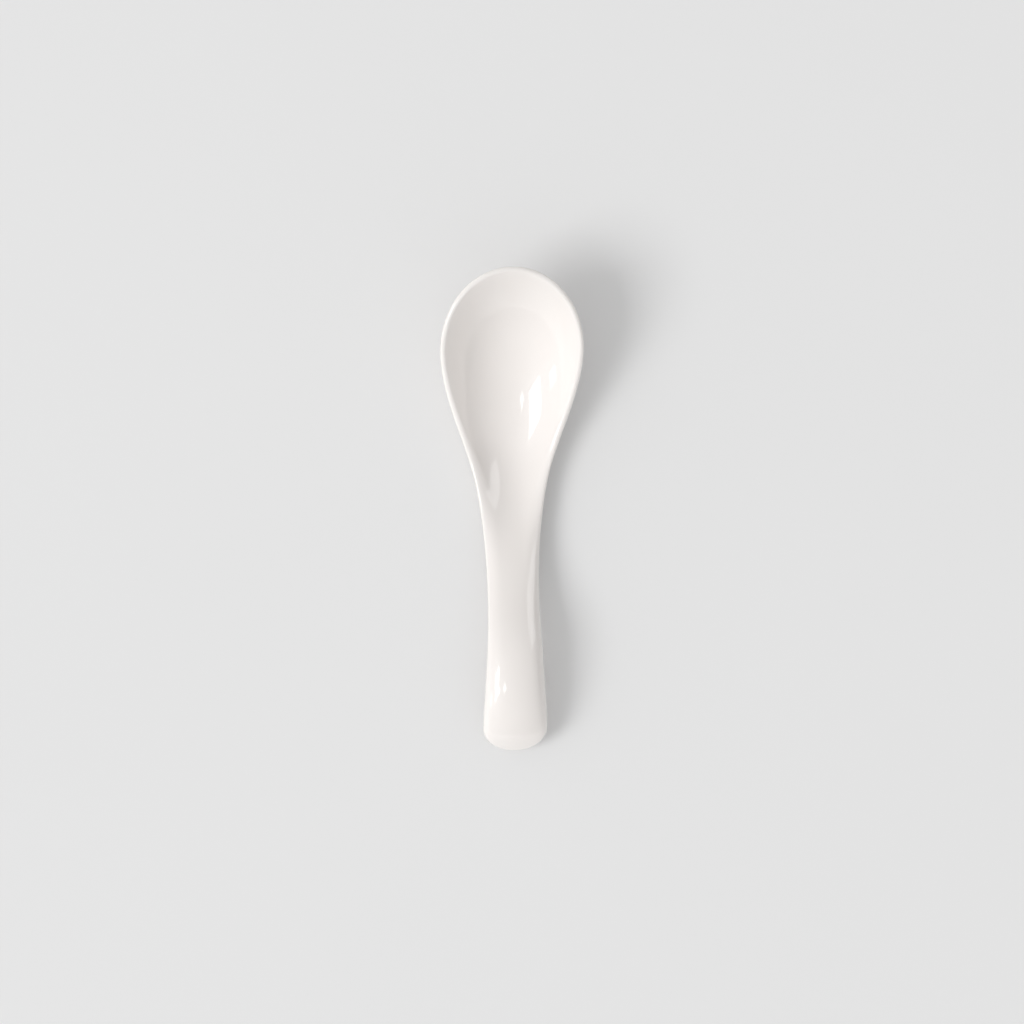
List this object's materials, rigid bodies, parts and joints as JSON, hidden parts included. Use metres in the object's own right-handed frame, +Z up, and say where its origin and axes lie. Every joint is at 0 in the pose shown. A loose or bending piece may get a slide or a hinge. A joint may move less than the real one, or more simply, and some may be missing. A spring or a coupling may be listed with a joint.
{
  "type": "chinese soup spoon",
  "caption": "White glazed porcelain soup spoon with a deep egg-shaped bowl, a narrow neck and an arched handle that flares and turns down to the table.",
  "frame": {"origin": "on the table, under the middle of the spoon's bounding box", "axes": "+Y from the handle to the tip of the bowl, +X to the right when seen from above with the bowl ahead, +Z up out of the bowl"},
  "size_m": [0.0414, 0.14, 0.0305],
  "materials": {
    "glaze": "gloss"
  },
  "bodies": {
    "root": {"spoon": "glaze"}
  },
  "joints": []
}
